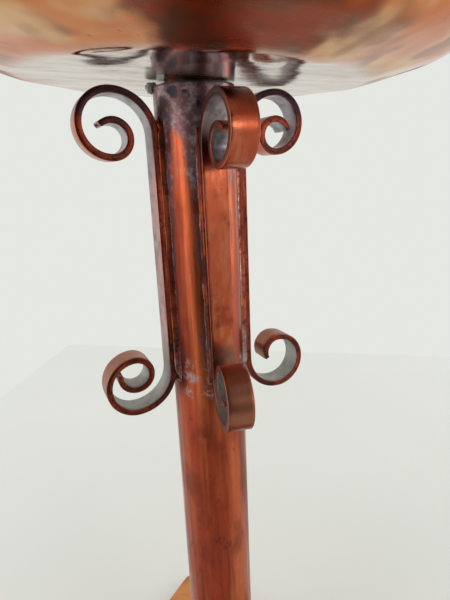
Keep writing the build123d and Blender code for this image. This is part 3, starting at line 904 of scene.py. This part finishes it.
def make_seam(name, angle):
    """Two uneven beads along the strap's edges, and a filling in the bend at each end."""
    node = f"solder_seam_{name}"
    low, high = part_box(node)[0].z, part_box(node)[1].z
    outward, sideways = directions(angle)
    half = STRAP_WIDTH / 2
    vertices, faces, line = [], [], []

    def place(out, across, height):
        return outward * out + sideways * across + Vector((0.0, 0.0, height))

    def on_tube(across):
        return sqrt(TUBE_RADIUS**2 - across**2)

    def add(rings, count):
        start = len(vertices)
        for ring in rings:
            vertices.extend(ring)
        made = bar_faces(len(rings), count)
        faces.extend(tuple(start + corner for corner in face) for face in made)

    for side in (1, -1):
        rings = []
        steps = int((high - low + 2 * BEAD_PAST) / BEAD_STEP)
        for step in range(steps + 1):
            height = low - BEAD_PAST + (high - low + 2 * BEAD_PAST) * step / steps
            spot = Vector((side * 3.0 + angle, height * 120.0, 0.0))
            rough = Vector((side * 5.0 + angle, height * 420.0, 2.0))
            swell = 0.75 + 0.55 * noise.noise(spot) + 0.25 * noise.noise(rough)
            to_end = min(height - low + BEAD_PAST, high + BEAD_PAST - height)
            swell *= smoothstep(to_end, 0.0, 0.006)
            foot = half + 0.0003 + 0.0009 * max(0.12, swell)
            crown = 0.0002 + 0.0007 * max(0.05, swell)
            a = (on_tube(foot) - 0.00005, foot)
            fall = smoothstep(max(low - height, height - high), -0.001, 0.007)
            level = STRAP_BACK + (on_tube(half) + 0.0001 - STRAP_BACK) * fall
            b = (level + crown, half + 0.00015)
            c = (on_tube(half + 0.0003) + 0.0004, half + 0.0003)
            ring = []
            for part in range(6):
                t = part / 5
                out = a[0] * (1 - t) ** 2 + 2 * c[0] * t * (1 - t) + b[0] * t**2
                across = a[1] * (1 - t) ** 2 + 2 * c[1] * t * (1 - t) + b[1] * t**2
                ring.append(place(out, side * across, height))
            ring.append(place(level + 0.0001, side * (half - 0.0012), height))
            ring.append(place(on_tube(half) - 0.0006, side * (half - 0.0012), height))
            rings.append(ring if side > 0 else ring[::-1])
            line.extend(BEAD_LINE if side > 0 else BEAD_LINE[::-1])
        add(rings, len(BEAD_LINE))
    for end, way in ((high, 1), (low, -1)):
        # Between the tube and the strap's bend the solder draws back in a hollow.
        rings = []
        for step in range(FILLING_RINGS):
            across = -half + 0.0002 + (STRAP_WIDTH - 0.0004) * step / (FILLING_RINGS - 1)
            wobble = noise.noise(Vector((across * 300.0, end * 90.0, angle)))
            climb = 0.0105 + 0.0028 * wobble
            wobble_tube = noise.noise(Vector((across * 260.0, end * 70.0, angle + 9.0)))
            climb_tube = 0.0085 + 0.0030 * wobble_tube
            tube_out = on_tube(across) - 0.0001
            root = end - way * 0.002
            ring = [place(tube_out, across, root), place(STRAP_BACK + 0.0001, across, root)]
            for part in range(6):
                rise = climb * part / 5
                out = SCROLL_CENTRE - sqrt(ROOT**2 - rise**2) + 0.0001
                ring.append(place(out, across, end + way * rise))
            far = SCROLL_CENTRE - sqrt(ROOT**2 - climb**2)
            for part in range(1, 6):
                t = part / 6
                out = far + (tube_out - far) * t
                sag = 4 * t * (1 - t) * 0.0032
                rise = climb + (climb_tube - climb) * t - sag
                ring.append(place(out, across, end + way * rise))
            ring.append(place(tube_out, across, end + way * climb_tube))
            rings.append(ring if way > 0 else ring[::-1])
        line.extend([FILLING_LINE] * FILLING_POINTS * len(rings))
        add(rings, FILLING_POINTS)
    piece = make_piece(f"seam_{name}", vertices, faces, (SEAM,), "stand", (node,))
    give(piece, "line", line)


for strap_name, strap_angle, *_ in STRAPS:
    make_seam(strap_name, strap_angle)


def copy_of(node, name):
    """A free copy of a CAD node, with its own mesh."""
    piece = nodes[node].copy()
    piece.data = nodes[node].data.copy()
    piece.name = name
    for key in list(piece.keys()):
        del piece[key]
    piece.parent = None
    bpy.context.scene.collection.objects.link(piece)
    return piece


def melted(node, name, voxel, amount, scale):
    """A solder piece: a copy of a CAD node, remeshed and pushed in and out."""
    piece = copy_of(node, name)
    remesh = piece.modifiers.new("remesh", "REMESH")
    remesh.mode = "VOXEL"
    remesh.voxel_size = voxel
    bpy.context.view_layer.update()
    shaped = bpy.data.meshes.new_from_object(
        piece.evaluated_get(bpy.context.evaluated_depsgraph_get())
    )
    piece.modifiers.clear()
    piece.data = shaped
    shaped.name = name
    for vertex in shaped.vertices:
        push = noise.noise(vertex.co * scale) + 0.5 * noise.noise(vertex.co * scale * 2.7)
        vertex.co += vertex.normal * amount * push
    coat(shaped, SOLDER)
    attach(piece, "stand")
    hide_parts(node)


melted("bowl_solder_tacks", "bowl_tacks", 0.0003, 0.0007, 900.0)
melted("base_solder", "base_bead", 0.0005, 0.0005, 420.0)


# ---- Pieces with worn edges ---------------------------------------------------------


SHARP_EDGE, SHARP_SHADING = radians(35.0), radians(40.0)


def soften(node, name, width, material, slot, body="stand"):
    """A copy of a CAD node with its sharp edges rounded by hand wear."""
    piece = copy_of(node, name)
    shaped = bmesh.new()
    shaped.from_mesh(piece.data)
    bmesh.ops.remove_doubles(shaped, verts=shaped.verts, dist=1e-6)
    bmesh.ops.dissolve_limit(
        shaped, angle_limit=radians(0.5), verts=shaped.verts, edges=shaped.edges
    )
    sharp = [e for e in shaped.edges if e.is_manifold and e.calc_face_angle(0.0) > SHARP_EDGE]
    bmesh.ops.bevel(
        shaped,
        geom=sharp,
        offset=width,
        offset_type="OFFSET",
        segments=3,
        profile=0.5,
        affect="EDGES",
        clamp_overlap=True,
    )
    bmesh.ops.triangulate(shaped, faces=[f for f in shaped.faces if len(f.verts) > 4])
    shaped.to_mesh(piece.data)
    shaped.free()
    coat(piece.data, material)
    piece.data.set_sharp_from_angle(angle=SHARP_SHADING)
    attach(piece, body)
    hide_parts(node)


PLATE_WEAR, FOOT_WEAR, STEEL_WEAR = 0.0006, 0.0003, 0.0005

soften("base_plate", "base_sheet", PLATE_WEAR, BASE, "base_copper")
for corner_name in ("front", "right", "back", "left"):
    soften(f"base_foot_{corner_name}", f"foot_{corner_name}", FOOT_WEAR, BASE, "base_copper")
steel = (STEEL_WEAR, GRATE, "grate_steel", "grate")
for side_name in ("left", "right"):
    soften(f"grate_tie_{side_name}", f"tie_bar_{side_name}", *steel)
    for end_name in ("front", "back"):
        soften(f"handle_lug_{side_name}_{end_name}", f"lug_{side_name}_{end_name}", *steel)


# ---- Materials of the CAD nodes that stay -------------------------------------------


def dress(node, material):
    """Gives a CAD node its material and smooth shading, and leaves its mesh as it is."""
    mesh = nodes[node].data
    coat(mesh, material)
    mesh.set_sharp_from_angle(angle=SHARP_EDGE)


for node in nodes:
    if node.startswith(("grate_bar", "grate_ring")):
        dress(node, GRATE)
    elif node.startswith("grate_handle"):
        dress(node, HANDLE)
for node, material in (
    ("column_tube", TUBE),
    ("rim_ring", RIM),
    ("top_plug", FITTING),
    ("bowl_washer", FITTING),
    ("bowl_bolt", STAINLESS),
    ("base_plug", FITTING),
    ("base_bolt", STAINLESS),
):
    dress(node, material)


# ---- Stage and light ----------------------------------------------------------------


def stage_plane(name, corners, material, seen=True):
    """A flat stage object; the camera looks through it when seen is False."""
    mesh = bpy.data.meshes.new(name)
    mesh.from_pydata(corners, [], [tuple(range(len(corners)))])
    mesh.materials.append(material)
    plane = bpy.data.objects.new(name, mesh)
    bpy.context.scene.collection.objects.link(plane)
    plane.visible_camera = seen


# A pale table top: its back edge lies a metre behind the object, and its left edge beside it.
back_corner = Vector((-0.038, 1.008, 0.0))
along_back = Vector((0.838, -0.546, 0.0))
along_left = Vector((-0.521, -0.854, 0.0))
TABLE_LEFT, TABLE_BACK = 5.0, 6.0  # lengths of those edges
TABLE_GREY, TABLE_LIGHT, TABLE_GLOW = (0.84, 0.855, 0.835), (0.86, 0.875, 0.855), 0.025
stage_plane(
    "table",
    [
        back_corner,
        back_corner + along_left * TABLE_LEFT,
        back_corner + along_left * TABLE_LEFT + along_back * TABLE_BACK,
        back_corner + along_back * TABLE_BACK,
    ],
    stage_paint("table_paint", TABLE_GREY, TABLE_LIGHT, TABLE_GLOW),
)

ROOM_COLOUR, ROOM_STRENGTH = (0.985, 1.0, 0.955, 1.0), 0.80
world = bpy.data.worlds.new("room")
bpy.context.scene.world = world
world.use_nodes = True
background = world.node_tree.nodes["Background"].inputs
background["Color"].default_value = ROOM_COLOUR
background["Strength"].default_value = ROOM_STRENGTH


CAMERA_SIDE = 270.0 - CAMERA_TURN  # degrees round the column from +X
COLUMN_MIDDLE = Vector((0.0, 0.0, TUBE_TOP - 0.10))


def polar(angle, distance, height):
    """A point at an angle in degrees round the column."""
    return Vector((distance * cos(radians(angle)), distance * sin(radians(angle)), height))


def softbox(name, turn, distance, height, width, tall, radiance, colour):
    """An area light that faces the column, turned from the camera's side by turn degrees."""
    data = bpy.data.lights.new(name, "AREA")
    data.shape = "RECTANGLE"
    data.size, data.size_y = width, tall
    data.energy = radiance * pi * width * tall
    data.color = colour
    lamp = bpy.data.objects.new(name, data)
    lamp.location = polar(CAMERA_SIDE + turn, distance, height)
    lamp.rotation_mode = "QUATERNION"
    lamp.rotation_quaternion = (COLUMN_MIDDLE - lamp.location).to_track_quat("-Z", "Y")
    bpy.context.scene.collection.objects.link(lamp)
    lamp.visible_camera = False


def dark_card(name, angle, distance, low, high, width, material):
    """An upright dark card that only shows in reflections."""
    middle = polar(angle, distance, 0.0)
    side = Vector((-sin(radians(angle)), cos(radians(angle)), 0.0)) * width / 2
    foot, top = Vector((0, 0, low)), Vector((0, 0, high))
    left, right_side = middle - side, middle + side
    corners = [left + foot, right_side + foot, right_side + top, left + top]
    stage_plane(name, corners, material, seen=False)


# Name, turn, distance, height, width, length upwards, radiance and colour of each light
for light in (
    ("window_left", -52, 1.3, TUBE_TOP, 0.46, 0.84, 1.75, (1.0, 0.97, 0.92)),
    ("window_right", 40, 1.4, TUBE_TOP + 0.11, 0.50, 0.28, 3.0, (1.0, 0.96, 0.88)),
    ("side_left", -100, 1.5, TUBE_TOP, 0.7, 0.84, 1.7, (1.0, 0.98, 0.94)),
    ("side_right", 93, 1.5, TUBE_TOP, 0.7, 0.84, 2.2, (1.0, 0.97, 0.92)),
):
    softbox(*light)
DARK = stage_paint("dark_card", (0.03, 0.02, 0.018), (0.045, 0.03, 0.025))
dark_card("photographer", CAMERA_SIDE, 0.55, 0.03, 1.4, 0.62, DARK)

bpy.context.scene.view_settings.view_transform = "Standard"
